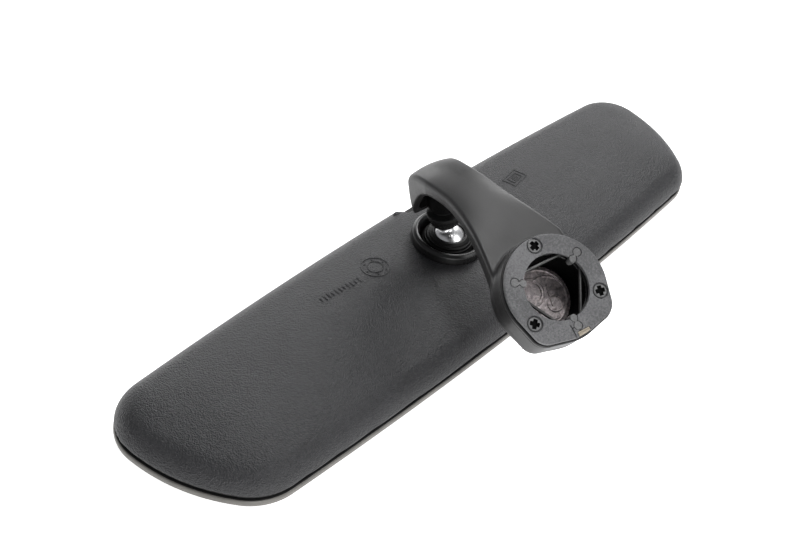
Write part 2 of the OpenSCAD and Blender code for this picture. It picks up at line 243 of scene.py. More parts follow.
def rounded(points, radii, steps=5):
    """A closed outline with its corners rounded."""
    pts = [np.array(p, float) for p in points]
    out = []
    for i, p in enumerate(pts):
        r = radii[i] if isinstance(radii, (list, tuple)) else radii
        a, b = pts[i - 1] - p, pts[(i + 1) % len(pts)] - p
        la, lb = np.linalg.norm(a), np.linalg.norm(b)
        a, b = a / la, b / lb
        half = 0.5 * math.acos(max(-1, min(1, float(a @ b))))
        if r <= 0 or half > 1.55:
            out.append(p)
            continue
        cut = min(r / math.tan(half), 0.48 * la, 0.48 * lb)
        s, e = p + a * cut, p + b * cut
        for k in range(steps + 1):
            t = k / steps
            out.append(s * (1 - t) ** 2 + p * 2 * t * (1 - t) + e * t * t)
    return np.array(out)


def lathe(name, section, matrix=HEAD, centre=(0, 0), turns=128):
    """A ring or disc turned from a closed section of (radius, height) points."""
    section = np.asarray(section, float)
    a = np.linspace(0, 2 * math.pi, turns, endpoint=False)
    pts = np.stack(
        [
            np.outer(np.cos(a), section[:, 0]) + centre[0],
            np.outer(np.sin(a), section[:, 0]) + centre[1],
            np.outer(np.ones(turns), section[:, 1]),
        ],
        -1,
    ).reshape(-1, 3)
    faces = grid_faces(turns, len(section), True)
    return add_mesh(name, pts, faces, matrix)


def loft(name, outline, section, matrix=HEAD):
    """A closed band: outline(grow) gives points, section is a closed loop of (grow, height)."""
    rings = []
    for grow, z in section:
        ring = outline(grow)
        rings.append(np.column_stack([ring, np.full(len(ring), z)]))
    pts = np.concatenate(rings)
    faces = grid_faces(len(rings), len(rings[0]), True)
    return add_mesh(name, pts, faces, matrix)


def slab(name, outline, section, matrix=HEAD):
    """A closed plate: section runs from the bottom's edge to the top's edge as (grow, height)."""
    rings = [np.column_stack([outline(g), np.full(len(outline(g)), z)]) for g, z in section]
    n = len(rings[0])
    pts = np.concatenate(rings)
    faces = grid_faces(len(rings), n)
    faces.append(tuple(range(n - 1, -1, -1)))
    faces.append(tuple((len(rings) - 1) * n + i for i in range(n)))
    return add_mesh(name, pts, faces, matrix)


def tube(name, path, radius, matrix=HEAD, sides=16, closed=False):
    """A round bar along a path."""
    path = np.asarray(path, float)
    n = len(path)
    if closed:
        tangent = np.roll(path, -1, 0) - np.roll(path, 1, 0)
    else:
        tangent = np.gradient(path, axis=0)
    tangent /= np.linalg.norm(tangent, axis=1)[:, None]
    ref = np.array([0, 0, 1.0])
    side = np.cross(tangent, ref)
    side /= np.linalg.norm(side, axis=1)[:, None]
    up = np.cross(side, tangent)
    a = np.linspace(0, 2 * math.pi, sides, endpoint=False)
    rings = (
        path[:, None, :]
        + radius * (np.cos(a)[None, :, None] * side[:, None, :] + np.sin(a)[None, :, None] * up[:, None, :])
    )
    faces = grid_faces(n, sides, closed)
    pts = rings.reshape(-1, 3)
    if not closed:
        faces.append(tuple(range(sides - 1, -1, -1)))
        faces.append(tuple((n - 1) * sides + i for i in range(sides)))
    return add_mesh(name, pts, faces, matrix)


# ---------------------------------------------------------------- materials
class Nodes:
    """Small helper for building a material's nodes."""

    def __init__(self, name):
        self.mat = bpy.data.materials.new(name)
        self.mat.use_nodes = True
        self.tree = self.mat.node_tree
        self.tree.nodes.clear()
        self.out = self.tree.nodes.new("ShaderNodeOutputMaterial")
        self.bsdf = self.tree.nodes.new("ShaderNodeBsdfPrincipled")
        self.link(self.bsdf.outputs[0], self.out.inputs["Surface"])
        self.coord = self.tree.nodes.new("ShaderNodeTexCoord").outputs["Object"]

    def link(self, a, b):
        self.tree.links.new(a, b)

    def node(self, kind, **settings):
        n = self.tree.nodes.new(kind)
        for key, value in settings.items():
            setattr(n, key, value)
        return n

    def noise(self, scale, detail=2.0, rough=0.5, distortion=0.0, coord=None):
        n = self.node("ShaderNodeTexNoise")
        n.inputs["Scale"].default_value = scale
        n.inputs["Detail"].default_value = detail
        n.inputs["Roughness"].default_value = rough
        n.inputs["Distortion"].default_value = distortion
        self.link(coord or self.coord, n.inputs["Vector"])
        return n.outputs["Fac"]

    def cells(self, scale, feature="F1", smooth=None, coord=None):
        n = self.node("ShaderNodeTexVoronoi", feature=feature)
        n.inputs["Scale"].default_value = scale
        if smooth is not None:
            n.inputs["Smoothness"].default_value = smooth
        self.link(coord or self.coord, n.inputs["Vector"])
        return n.outputs["Distance"]

    def maths(self, op, a, b=None, c=None, clamp=False):
        n = self.node("ShaderNodeMath", operation=op)
        n.use_clamp = clamp
        for i, v in enumerate((a, b, c)):
            if v is None:
                continue
            if isinstance(v, (int, float)):
                n.inputs[i].default_value = v
            else:
                self.link(v, n.inputs[i])
        return n.outputs[0]

    def ramp(self, fac, stops):
        n = self.node("ShaderNodeValToRGB")
        e = n.color_ramp.elements
        while len(e) < len(stops):
            e.new(0.5)
        for el, (pos, col) in zip(e, stops):
            el.position = pos
            el.color = (*col, 1) if len(col) == 3 else col
        self.link(fac, n.inputs["Fac"])
        return n.outputs["Color"]

    def range(self, fac, a, b, low=0.0, high=1.0):
        n = self.node("ShaderNodeMapRange")
        for key, v in (("From Min", low), ("From Max", high), ("To Min", a), ("To Max", b)):
            n.inputs[key].default_value = v
        self.link(fac, n.inputs["Value"])
        return n.outputs["Result"]

    def bump(self, height, distance, strength=1.0, normal=None):
        n = self.node("ShaderNodeBump")
        n.inputs["Strength"].default_value = strength
        n.inputs["Distance"].default_value = distance
        self.link(height, n.inputs["Height"])
        if normal is not None:
            self.link(normal, n.inputs["Normal"])
        return n.outputs["Normal"]

    def set(self, **values):
        for key, v in values.items():
            socket = self.bsdf.inputs[key.replace("_", " ")]
            if isinstance(v, (int, float, tuple)):
                socket.default_value = v
            else:
                self.link(v, socket)
        return self


def grained_plastic(name, low, high, rough, grain=2600.0, depth=0.00006, specular=0.5):
    """Moulded plastic with a fine leather-like grain."""
    m = Nodes(name)
    fine = m.cells(grain, "SMOOTH_F1", 0.6)
    mid = m.noise(grain * 0.45, 3.0, 0.6)
    wide = m.noise(60.0, 3.0, 0.6)
    height = m.maths("ADD", m.maths("MULTIPLY", fine, 0.7), m.maths("MULTIPLY", mid, 0.6))
    tone = m.maths("ADD", m.maths("MULTIPLY", m.maths("SUBTRACT", mid, 0.5), 1.2), wide)
    m.set(
        Base_Color=m.ramp(tone, [(0.3, low), (0.7, high)]),
        Roughness=m.range(m.maths("ADD", fine, wide), rough - 0.06, rough + 0.06, 0.4, 1.3),
        Specular_IOR_Level=specular,
        Normal=m.bump(height, depth, 0.8),
    )
    return m.mat


def satin_plastic(name, low, high, rough, texture=5000.0, depth=0.00001, specular=0.5):
    """Smooth moulded plastic with a very fine texture and faint wear."""
    m = Nodes(name)
    fine = m.noise(texture, 2.0, 0.5)
    wide = m.noise(90.0, 4.0, 0.6)
    scuff = m.noise(900.0, 2.0, 0.7, 0.4)
    m.set(
        Base_Color=m.ramp(wide, [(0.3, low), (0.7, high)]),
        Roughness=m.range(
            m.maths("ADD", wide, m.maths("MULTIPLY", scuff, 0.4)), rough - 0.07, rough + 0.07, 0.4, 1.0
        ),
        Specular_IOR_Level=specular,
        Normal=m.bump(fine, depth, 0.6),
    )
    return m.mat


def metal(name, low, high, rough, brushed=0.0, depth=0.00001, grain=3000.0):
    """Metal with fine scratches or a cast skin."""
    m = Nodes(name)
    if brushed:
        stretch = m.node("ShaderNodeMapping")
        stretch.inputs["Scale"].default_value = (1.0, brushed, 1.0)
        m.link(m.coord, stretch.inputs["Vector"])
        fine = m.noise(grain, 3.0, 0.6, coord=stretch.outputs[0])
    else:
        fine = m.noise(grain, 3.0, 0.6)
    wide = m.noise(140.0, 3.0, 0.6)
    m.set(
        Base_Color=m.ramp(wide, [(0.3, low), (0.7, high)]),
        Metallic=1.0,
        Roughness=m.range(m.maths("ADD", fine, wide), rough - 0.06, rough + 0.08, 0.5, 1.5),
        Normal=m.bump(fine, depth, 0.5),
    )
    return m.mat


def cast_metal(name, low, high):
    """Rough die cast skin, part dull and part bright."""
    m = Nodes(name)
    lumps = m.noise(750.0, 4.0, 0.65, 0.6)
    fine = m.noise(3200.0, 2.0, 0.6)
    m.set(
        Base_Color=m.ramp(lumps, [(0.35, low), (0.65, high)]),
        Metallic=0.5,
        Roughness=m.range(fine, 0.3, 0.5),
        Normal=m.bump(m.maths("ADD", lumps, m.maths("MULTIPLY", fine, 0.3)), 0.00016, 0.8),
    )
    return m.mat


def paint(obj, material):
    obj.data.materials.clear()
    obj.data.materials.append(material)
    return obj


MATERIALS = {
    "housing_black": grained_plastic(
        "housing_black", (0.012, 0.012, 0.0135), (0.022, 0.022, 0.024), 0.46, 2300.0, 0.0004, 0.45
    ),
    "arm_black": satin_plastic(
        "arm_black", (0.01, 0.0097, 0.0097), (0.016, 0.0155, 0.0155), 0.44, 4200, 0.00002, 0.5
    ),
    "trim_black": satin_plastic(
        "trim_black", (0.004, 0.004, 0.004), (0.007, 0.007, 0.007), 0.3, 5000.0, 0.00001, 0.4
    ),
    "carrier_black": satin_plastic("carrier_black", (0.006, 0.006, 0.006), (0.01, 0.01, 0.01), 0.5),
    "foam_tape": satin_plastic(
        "foam_tape", (0.003, 0.003, 0.003), (0.008, 0.008, 0.008), 0.9, 2500, 0.00008, 0.2
    ),
    "boot_rubber": satin_plastic(
        "boot_rubber", (0.003, 0.003, 0.003), (0.006, 0.0055, 0.0055), 0.45, 3000, 0.00002, 0.2
    ),
    "seat_plastic": satin_plastic("seat_plastic", (0.6, 0.57, 0.5), (0.68, 0.65, 0.58), 0.5),
    "cup_black": satin_plastic("cup_black", (0.01, 0.009, 0.008), (0.02, 0.017, 0.015), 0.42),
    # near-black and matte: the sleeve's own black plus painted shade from the hood above it
    "sleeve_black": satin_plastic(
        "sleeve_black", (0.004, 0.004, 0.004), (0.006, 0.006, 0.006), 0.55, 4000, 0.00001, 0.2
    ),
    # painted shade: a near-black, barely glossy finish laid on the arm's inside faces and the screw slots,
    # standing in for the shade that falls there
    "painted_shade_black": satin_plastic(
        "painted_shade_black", (0.0015, 0.0015, 0.0015), (0.003, 0.003, 0.003), 0.7, 4000, 0.00001, 0.06
    ),
    "gasket_black": satin_plastic("gasket_black", (0.004, 0.004, 0.004), (0.008, 0.008, 0.008), 0.7),
    "cover_grey": grained_plastic("cover_grey", (0.075, 0.075, 0.077), (0.15, 0.15, 0.154), 0.5, 3800.0, 0.00009),
    "plug_grey": grained_plastic("plug_grey", (0.1, 0.1, 0.1), (0.17, 0.17, 0.17), 0.5, 3600.0, 0.00003),
    "screw_black": satin_plastic("screw_black", (0.12, 0.12, 0.12), (0.17, 0.17, 0.17), 0.42),
    "zinc_steel": metal("zinc_steel", (0.5, 0.5, 0.48), (0.62, 0.62, 0.6), 0.32),
    "spring_steel": metal("spring_steel", (0.1, 0.1, 0.1), (0.17, 0.17, 0.165), 0.42, 0.2),
    "bracket_steel": metal("bracket_steel", (0.42, 0.42, 0.42), (0.52, 0.52, 0.52), 0.4, 0.1),
    "chrome": metal("chrome", (0.93, 0.93, 0.93), (0.97, 0.97, 0.97), 0.3, 0.0, 0.000002),
    "cast_zinc": cast_metal("cast_zinc", (0.3, 0.265, 0.265), (0.75, 0.67, 0.67)),
    "tab_beige": satin_plastic("tab_beige", (0.3, 0.26, 0.2), (0.4, 0.35, 0.28), 0.5),
}


def mirror_materials():
    """Silvered face, and the ground edge of the glass."""
    face = Nodes("mirror")
    smudge = face.noise(45.0, 4.0, 0.65)
    face.set(
        Base_Color=face.ramp(smudge, [(0.3, (0.8, 0.82, 0.83)), (0.7, (0.86, 0.88, 0.89))]),
        Metallic=1.0,
        Roughness=face.range(smudge, 0.015, 0.05, 0.3, 0.7),
    )
    edge = Nodes("mirror_edge")
    fine = edge.noise(3500.0, 3.0, 0.6)
    wide = edge.noise(110.0, 3.0, 0.6)
    edge.set(
        Base_Color=edge.ramp(wide, [(0.3, (0.095, 0.09, 0.08)), (0.7, (0.15, 0.142, 0.127))]),
        Roughness=edge.range(fine, 0.32, 0.5),
        Specular_IOR_Level=0.6,
        Normal=edge.bump(fine, 0.00002, 0.6),
    )
    return face.mat, edge.mat


MATERIALS["mirror"], EDGE_GLASS = mirror_materials()
node_slot = {entry["node"]: entry["material_slot"] for entry in record["subparts"]}
for name, obj in frame["nodes"].items():
    paint(obj, MATERIALS[node_slot[name]])


def piece(obj, body, slot, *nodes, material=None):
    """Finish a piece: paint it, let it ride and hide the parts it stands for."""
    paint(obj, material or MATERIALS[slot])
    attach(obj, body)
    if nodes:
        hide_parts(*nodes)
    return obj


# ---------------------------------------------------------------- the head's outline
def polar(c, r, a):
    return [c[0] + r * math.cos(math.radians(a)), c[1] + r * math.sin(math.radians(a))]


near_c = np.array([NEAR_HALF - NEAR_R, NEAR_R - HEAD_W / 2])
far_c = np.array([FAR_HALF - FAR_R, HEAD_W / 2 - FAR_R])
near_k = math.degrees(math.atan(2 * NEAR_BOW / NEAR_HALF))
far_k = math.degrees(math.atan(2 * FAR_BOW / FAR_HALF))
end_d = far_c - near_c
end_dir = (
    math.degrees(math.atan2(end_d[1], end_d[0]))
    - 90
    + math.degrees(math.asin((NEAR_R - FAR_R) / np.linalg.norm(end_d)))
)


def arc(c, r, a0, a1, n):
    return [polar(c, r, a0 + (a1 - a0) * i / n) for i in range(n + 1)]


def bow(p, q, direction, h, n):
    p, q, direction = np.array(p), np.array(q), np.array(direction)
    return [list(p + (q - p) * t + 4 * t * (1 - t) * h * direction) for t in np.arange(1, n) / n]


def head_outline(grow, dense=3):
    """The head's outline, set out by grow."""
    k = END_BOW_DEG
    low = arc(near_c, NEAR_R + grow, -90 + near_k, end_dir - k, 8 * dense)
    high = arc(far_c, FAR_R + grow, end_dir + k, 90 - far_k, 8 * dense)
    chord = np.linalg.norm(np.array(high[0]) - np.array(low[-1]))
    swell = chord * math.tan(math.radians(k)) / 4
    out = polar((0, 0), 1, end_dir)
    right = low + bow(low[-1], high[0], out, swell, 5 * dense) + high
    left = [[-x, y] for x, y in reversed(right)]
    far = bow(right[-1], left[0], [0, 1], FAR_BOW, 14 * dense)
    near = bow(left[-1], right[0], [0, -1], NEAR_BOW, 14 * dense)
    return np.array(right + far + left + near)


# ---------------------------------------------------------------- mirror glass
glass = slab(
    "glass",
    head_outline,
    [(-1.0, 0.0), (-0.75, 0.0), (-0.5, 0.06), (-0.3, 0.22), (-0.16, 0.45), (-0.08, 0.8), (-0.06, 1.2),
     (-0.08, 1.6), (-0.14, 1.95), (-0.28, 2.25), (-0.5, GLASS_T - 0.06), (-0.8, GLASS_T), (-1.2, GLASS_T)],
)
glass.data.materials.append(MATERIALS["mirror"])
piece(glass, "head", "mirror", "mirror_glass")
glass.data.materials.append(EDGE_GLASS)
glass.data.materials.append(MATERIALS["gasket_black"])
for poly in glass.data.polygons:
    if poly.center.z > (GLASS_T - 0.04) * MM:
        poly.material_index = 2
    elif poly.center.z > 0.00001 or abs(poly.normal.z) < 0.9:
        poly.material_index = 1

# ---------------------------------------------------------------- rear housing
RECESS_X, RECESS_Y = (2.0, 37.0), 24.0
head_field = Outline(head_outline(0.0, 5), pad=4.0, cell=0.4)
RIM = SEAM + 0.02


def blurred(field, sigma):
    """The same field with its ridges softened."""
    out = Outline.__new__(Outline)
    out.cell, out.low = field.cell, field.low
    nx, ny = field.grid.shape
    kx = np.fft.fftfreq(nx, field.cell)[:, None]
    ky = np.fft.rfftfreq(ny, field.cell)[None, :]
    soft = np.exp(-2 * (math.pi * sigma) ** 2 * (kx**2 + ky**2))
    out.grid = np.fft.irfft2(np.fft.rfft2(field.grid) * soft, s=(nx, ny))
    return out


def crown(s):
    return HEAD_TOP - CROWN_DROP * (np.maximum(HEAD_W / 2 - s, 0) / CROWN_RUN) ** 2


join_s = HEAD_W / 2 - CROWN_RUN
join_lean = math.atan(2 * CROWN_DROP / CROWN_RUN)
edge_z = crown(join_s) - EDGE_R * math.cos(join_lean)
edge_s = join_s + EDGE_R * math.sin(join_lean)
profile = [(edge_s - EDGE_R, -8.0)]
profile += [
    (edge_s - EDGE_R * math.cos(t), edge_z + EDGE_R * math.sin(t))
    for t in np.linspace(0, math.pi / 2 - join_lean, 40)
]
profile += [(t, float(crown(t))) for t in np.linspace(join_s, 36, 60)[1:]]
profile += [(36, -8.0)]
profile_field = Outline(profile, pad=5.0, cell=0.08)
soft_field = blurred(head_field, 5.0)


def pillow(x, y, z):
    s, soft = -head_field(x, y), -soft_field(x, y)
    t = np.clip((s - 9) / 9, 0, 1)
    s = s + (soft - s) * t * t * (3 - 2 * t)
    return profile_field(s, z)


def box_field(x, y, z, xs, ys, zs, r=0.0):
    a = np.maximum(xs[0] - x, x - xs[1])
    b = np.maximum(ys[0] - y, y - ys[1])
    c = np.maximum(zs[0] - z, z - zs[1])
    return smax(smax(a, b, r), c, r)


def housing_shape(x, y, z):
    out = pillow(x, y, z)
    rim = RIM - z
    shell = smax(out, rim, 0.35)
    # the wall is thinner over the clamp, which rises as the bracket tilts
    over_clamp = np.clip((20.0 - np.hypot(x, y - BALL[1])) / 3.0, 0, 1)
    cavity = out + WALL - 1.3 * over_clamp
    lining = box_field(x, y, z, (RECESS_X[0] - 1.7, RECESS_X[1] + 1.7), (RECESS_Y - 1.7, 40), (-9, 30), 1.0)
    inside = smax(cavity, -lining, 0.4)
    shape = smax(shell, -inside, 0.2)
    notch = box_field(x, y, z, RECESS_X, (RECESS_Y, 40), (-9, 30), 0.8)
    shape = smax(shape, -notch, 0.45)
    hole = np.hypot(x, y - BALL[1]) - 10.1
    return smax(shape, -hole, 0.3)


housing = solid(
    "housing",
    housing_shape,
    (-FAR_HALF - 3, -HEAD_W / 2 - 5, SEAM - 1.2),
    (FAR_HALF + 3, HEAD_W / 2 + 6, HEAD_TOP + 1.2),
    (0.62, 0.62, 0.5),
)
piece(housing, "head", "housing_black", "rear_housing")

# ---------------------------------------------------------------- collar, boot and ball
collar_section = rounded(
    [(9.5, 12.0), (10.05, 12.0), (10.15, 12.7), (12.4, 12.7), (12.45, 14.6),
     (12.2, 16.4), (11.4, 17.25), (10.6, 17.2), (9.9, 16.2), (9.5, 14.6)],
    [0, 0, 0.05, 0.15, 0.6, 0.8, 0.6, 0.6, 0.5, 0.3],
)
piece(lathe("collar", collar_section, centre=BALL[:2], turns=160), "head", "trim_black", "socket_collar")

boot_section = rounded(
    [(8.1, 13.2), (8.7, 13.2), (8.75, 14.35), (8.45, 14.6), (8.2, 14.75), (8.25, 15.15), (8.1, 15.45),
     (7.75, 15.5), (7.6, 15.7), (7.65, 16.1), (7.45, 16.35), (7.15, 16.4), (6.9, 16.55), (6.8, 16.9), (6.3, 17.1),
     (6.0, 17.35), (5.2, 17.4), (5.25, 17.05), (8.1, 14.3)],
    0.12,
    4,
)
piece(lathe("boot", boot_section, centre=BALL[:2], turns=128), "bracket", "boot_rubber", "socket_boot")


def ball_mesh():
    """Polished ball with its neck."""
    r = 6.5
    neck = 2.2
    top = math.sqrt(r * r - neck * neck)
    a = np.linspace(-90, math.degrees(math.atan2(top - 0.5, neck + 0.3)), 44)
    section = [(max(r * math.cos(math.radians(t)), 0.001), r * math.sin(math.radians(t))) for t in a]
    section += [(neck + 0.15, top + 0.1), (neck, top + 0.6), (neck, 27.9), (neck - 0.2, 28.0), (0.001, 28.0)]
    n = len(section)
    turns = 96
    ang = np.linspace(0, 2 * math.pi, turns, endpoint=False)
    pts = [(s[0] * math.cos(t), s[0] * math.sin(t), s[1]) for t in ang for s in section[1:-1]]
    m = n - 2
    pts += [(0, 0, -r), (0, 0, 28.0)]
    faces = []
    for i in range(turns):
        j = (i + 1) % turns
        for k in range(m - 1):
            faces.append((i * m + k, j * m + k, j * m + k + 1, i * m + k + 1))
        faces.append((turns * m, j * m, i * m))
        faces.append((turns * m + 1, i * m + m - 1, j * m + m - 1))
    return add_mesh("ball", pts, faces, ARM)


piece(ball_mesh(), "arm", "chrome", "ball_stud")
sleeve_section = rounded(
    [(2.25, 8.2), (3.7, 8.2), (4.5, 8.9), (5.2, 10.6), (5.8, 12.4), (5.8, 13.5),
     (3.6, 14.2), (3.6, 15.4), (2.25, 15.4)],
    [0.05, 0.3, 0.4, 0.8, 0.6, 0.3, 0.1, 0.05, 0.05],
)
piece(lathe("sleeve", sleeve_section, ARM, turns=64), "arm", "sleeve_black", "stud_sleeve")


# ---------------------------------------------------------------- arm
def bezier(a, b, c, d, n):
    a, b, c, d = (np.array(p, float) for p in (a, b, c, d))
    return [
        list(a * (1 - t) ** 3 + 3 * b * (1 - t) ** 2 * t + 3 * c * (1 - t) * t * t + d * t**3)
        for t in np.linspace(0, 1, n + 1)
    ]


# Side of the hood, its back from the tip to the foot, and the edge below
TIP_STEPS = 16
crest = bezier((4.4, 14), (5.1, 17), (6.8, 20.6), (6.7, 26), TIP_STEPS)
crest += bezier((6.7, 26), (6.5, 31.8), (-2, 34.5), (-14, 34.6), 30)[1:]
crest += bezier((-14, 34.6), (-28, 34.6), (-38, 28.6), (-52, 22.4), 30)[1:]
under = bezier((-48, 15), (-40, 20), (-30, 28), (-15, 28.6), 24)
under += bezier((-15, 28.6), (-6, 28.6), (-2.5, 27), (2.5, 17.3), 24)[1:] + [[3.8, 14]]
strap_field = Outline(crest + under, pad=14.0, cell=0.25)
below_field = Outline(crest[TIP_STEPS:] + [[-52, -20], [6.7, -20]], pad=14.0, cell=0.25)
ARM_HALF, ARM_WALL, ARM_TIP, DOME = 8.1, 2.0, 6.9, 1.5
FLARE_START, FLARE_RUN, FLARE_GAIN, ARM_WIDEST = 16, 26, 5.2, 15.2
HOOD_SHIFT, BEND_START, BEND_SLOPE = -1.3, 6, 0.085


def foot_outline(grow, per_degree=0.5):
    """Round side towards the ball and two rounded corners at the outer edge."""
    corner, cr = np.array([8.7, -9.1]), 4.8
    lean = math.degrees(math.acos((FOOT_R - cr) / np.linalg.norm(corner)))
    at = math.degrees(math.atan2(corner[1], corner[0]))
    top, bottom = at + lean, at - lean
    runs = [
        ((0, 0), FOOT_R, top, 180 - top),
        ((-corner[0], corner[1]), cr, 180 - top, 180 - bottom),
        ((0, 0), FOOT_R, 180 - bottom, 360 + bottom),
        (tuple(corner), cr, 360 + bottom, 360 + top),
    ]
    pts = []
    for c, r, a0, a1 in runs:
        n = max(3, int((a1 - a0) * per_degree))
        pts += arc(c, r + grow, a0, a1, n)
        nxt = runs[(runs.index((c, r, a0, a1)) + 1) % 4]
        end, start = np.array(pts[-1]), np.array(polar(nxt[0], nxt[1] + grow, nxt[2]))
        for t in np.linspace(0, 1, 6)[1:-1]:
            pts.append(list(end * (1 - t) + start * t))
    return np.array(pts)


foot_field = Outline(foot_outline(0.0, 1.0), pad=12.0, cell=0.2)
to_foot = np.array((ARM.inverted() @ FOOT).inverted())


def in_foot(x, y, z):
    m = to_foot
    return tuple(m[i, 0] * x + m[i, 1] * y + m[i, 2] * z + m[i, 3] for i in range(3))


def arm_edges(y):
    """Left and right edge of the arm's plan."""
    p = -y
    half = ARM_HALF + FLARE_GAIN * (np.maximum(0, p - FLARE_START) / FLARE_RUN) ** 1.6
    middle = HOOD_SHIFT + BEND_SLOPE * np.maximum(0, p - BEND_START)
    return np.maximum(middle - half, -ARM_WIDEST), np.minimum(middle + half, ARM_WIDEST)


def dome(x, y):
    """How far the arm's back falls away from its middle."""
    low, high = arm_edges(y)
    share = np.clip((2 * x - low - high) / (high - low), -1.2, 1.2)
    fade = np.clip((-y - 22) / 18, 0, 1)
    return DOME * share**2 * (1 - fade * fade * (3 - 2 * fade))


def hollow_shape(x, y, z):
    low, high = arm_edges(y)
    tip = np.clip(3.0 + 0.25 * (z - 14), 3.0, ARM_TIP - 1.5)
    inner = smax(np.maximum(low - x, x - high) + ARM_WALL, y - tip, 1.6)
    hollow = smax(below_field(y, z + dome(x, y)) + 2.4, inner, 1.0)
    return smax(hollow, -y - 41.5, 2.0)


def arm_shape(x, y, z):
    low, high = arm_edges(y)
    plan = smax(np.maximum(low - x, x - high), y - ARM_TIP, 2.6)
    top = below_field(y, z + dome(x, y))
    strap = smax(np.maximum(strap_field(y, z), top), plan, 1.3)
    strap = np.maximum(strap, -y - 56)
    u, v, n = in_foot(x, y, z)
    wall = foot_field(u, v) - 0.4
    block = smax(wall, np.maximum(n + 3.05, -n - 11.5), 0.25)
    radius = np.hypot(u, v)
    cone = (radius - (15.4 + (n + 11.5) * 0.5)) * 0.9
    block_low = smax(cone, np.maximum(n + 10.0, -n - 17.0), 1.6)
    block = smin(block, block_low, 1.2)
    boss = smax(np.hypot(x, y) - 4.9, np.maximum(15.4 - z, top + 1.2), 0.4)
    shape = smin(strap, block, 1.0)
    shape = smax(shape, -hollow_shape(x, y, z), 0.45)
    shape = smin(shape, boss, 0.8)
    shape = smax(shape, -smax(radius - SOCKET_R, -n - 15.2, 0.3), 0.3)
    return np.maximum(shape, np.where(n < -3.0, -50, n + 3.05))


arm = solid("arm", arm_shape, (-17.5, -81, 0.5), (17.5, 8.5, 41), 0.36, ARM)
piece(arm, "arm", "arm_black", "arm_body")


def darken(obj, material, field, matrix, reach):
    """Give the faces near the inside of a field a second material: painted shade for hollows and slots."""
    mesh = obj.data
    mesh.materials.append(material)
    centre = np.empty(len(mesh.polygons) * 3)
    mesh.polygons.foreach_get("center", centre)
    back_to = np.array(matrix.inverted())
    centre = centre.reshape(-1, 3) / MM @ back_to[:3, :3].T + back_to[:3, 3]
    inner = field(centre[:, 0], centre[:, 1], centre[:, 2]) < reach
    mesh.polygons.foreach_set("material_index", inner.astype(np.int32))


# painted shade: the arm's hollow, the boss inside it and the foot's socket well get the near-black material in
# place of the shade under the hood
def arm_inside(x, y, z):
    u, v, n = in_foot(x, y, z)
    well = np.maximum(np.hypot(u, v) - SOCKET_R, -n - 17)
    return np.minimum(hollow_shape(x, y, z), well)


darken(arm, MATERIALS["painted_shade_black"], arm_inside, ARM, 0.12)

rim_section = rounded(
    [(-3.0, -1.72), (0.25, -1.72), (0.55, -1.95), (0.55, -2.75),
     (0.3, -2.9), (-0.05, -2.95), (-0.05, -3.3), (-3.0, -3.3)],
    [0, 0.2, 0.2, 0.15, 0.1, 0.1, 0, 0],
    4,
)
piece(loft("head_rim", foot_outline, rim_section, FOOT), "arm", "arm_black")
gasket_section = [(-4.5, -1.15), (-0.55, -1.15), (-0.5, -1.2), (-0.5, -1.75), (-4.5, -1.75)]
piece(loft("gasket", foot_outline, gasket_section, FOOT), "arm", "gasket_black", "foot_gasket")

# ---------------------------------------------------------------- foot cover and its small parts
PLUG_ANGLES = (30, 150, 270)
SCREW_ANGLES = (90, 210, 330)
POST_RING, POST_R, LUG_RING, LUG_R, SCREW_RING = 12.5, 1.25, 10.0, 1.1, 13.2
TAB_X, TAB_Y = (-1.2, 3.0), -14.0


def turned(u, v, angle):
    c, s = math.cos(math.radians(angle)), math.sin(math.radians(angle))
    return u * c + v * s, -u * s + v * c


def plug_field(u, v, grow):
    best = None
    for a in PLUG_ANGLES:
        p, q = turned(u, v, a)
        one = np.minimum(np.hypot(p - POST_RING, q) - POST_R, np.hypot(p - LUG_RING, q) - LUG_R)
        neck = np.maximum(np.abs(q) - 0.4, np.maximum(LUG_RING - p, p - POST_RING))
        one = smin(one, neck, 0.15)
        best = one if best is None else np.minimum(best, one)
    return best - grow


def cover_shape(u, v, n):
    edge = foot_field(u, v)
    shape = smax(smax(edge, n, 0.28), -n - COVER_T, 0.05)
    shape = smax(shape, SOCKET_R - np.hypot(u, v), 0.14)
    shape = smax(shape, -plug_field(u, v, 0.14), 0.1)
    for a in SCREW_ANGLES:
        p, q = turned(u, v, a)
        d = np.hypot(p - SCREW_RING, q)
        shape = smax(shape, -smax(d - 2.42, -0.75 - n, 0.05), 0.12)
    tab = smax(smax(TAB_X[0] - u, u - TAB_X[1], 0), v - TAB_Y, 0.2)
    shape = smax(shape, -tab, 0.1)
    split = np.maximum(np.abs(u + 2.1) - 0.11, np.maximum(v + POST_RING - POST_R + 0.2, -20 - v))
    link = np.maximum(np.abs(v + POST_RING) - 0.11, np.maximum(-2.2 - u, u))
    return smax(shape, -np.minimum(split, link), 0.06)


cover = solid(
    "cover", cover_shape, (-16.6, -16.6, -COVER_T - 0.3), (16.6, 16.6, 0.4), (0.15, 0.15, 0.12), FOOT
)
piece(cover, "arm", "cover_grey", "foot_cover_plate")


def cross_field(u, v, half, length):
    cross = None
    for a in (20, 110):
        p, q = turned(u, v, a)
        bar = np.maximum(np.abs(q) - half, np.abs(p) - length)
        cross = bar if cross is None else smin(cross, bar, 0.2)
    return cross


def screw_shape(u, v, n):
    d = np.hypot(u, v)
    dome = np.sqrt(d**2 + (n + 12.1) ** 2) - 12.05
    shape = smax(smax(d - 2.0, dome, 0.3), -n - 1.1, 0.0)
    cross = cross_field(u, v, 0.45, 1.3)
    return smax(shape, -np.maximum(cross, -0.6 - n), 0.1)


def screw_slot(u, v, n):
    return np.maximum(cross_field(u, v, 0.45, 1.3) - 0.1, n + 0.02)


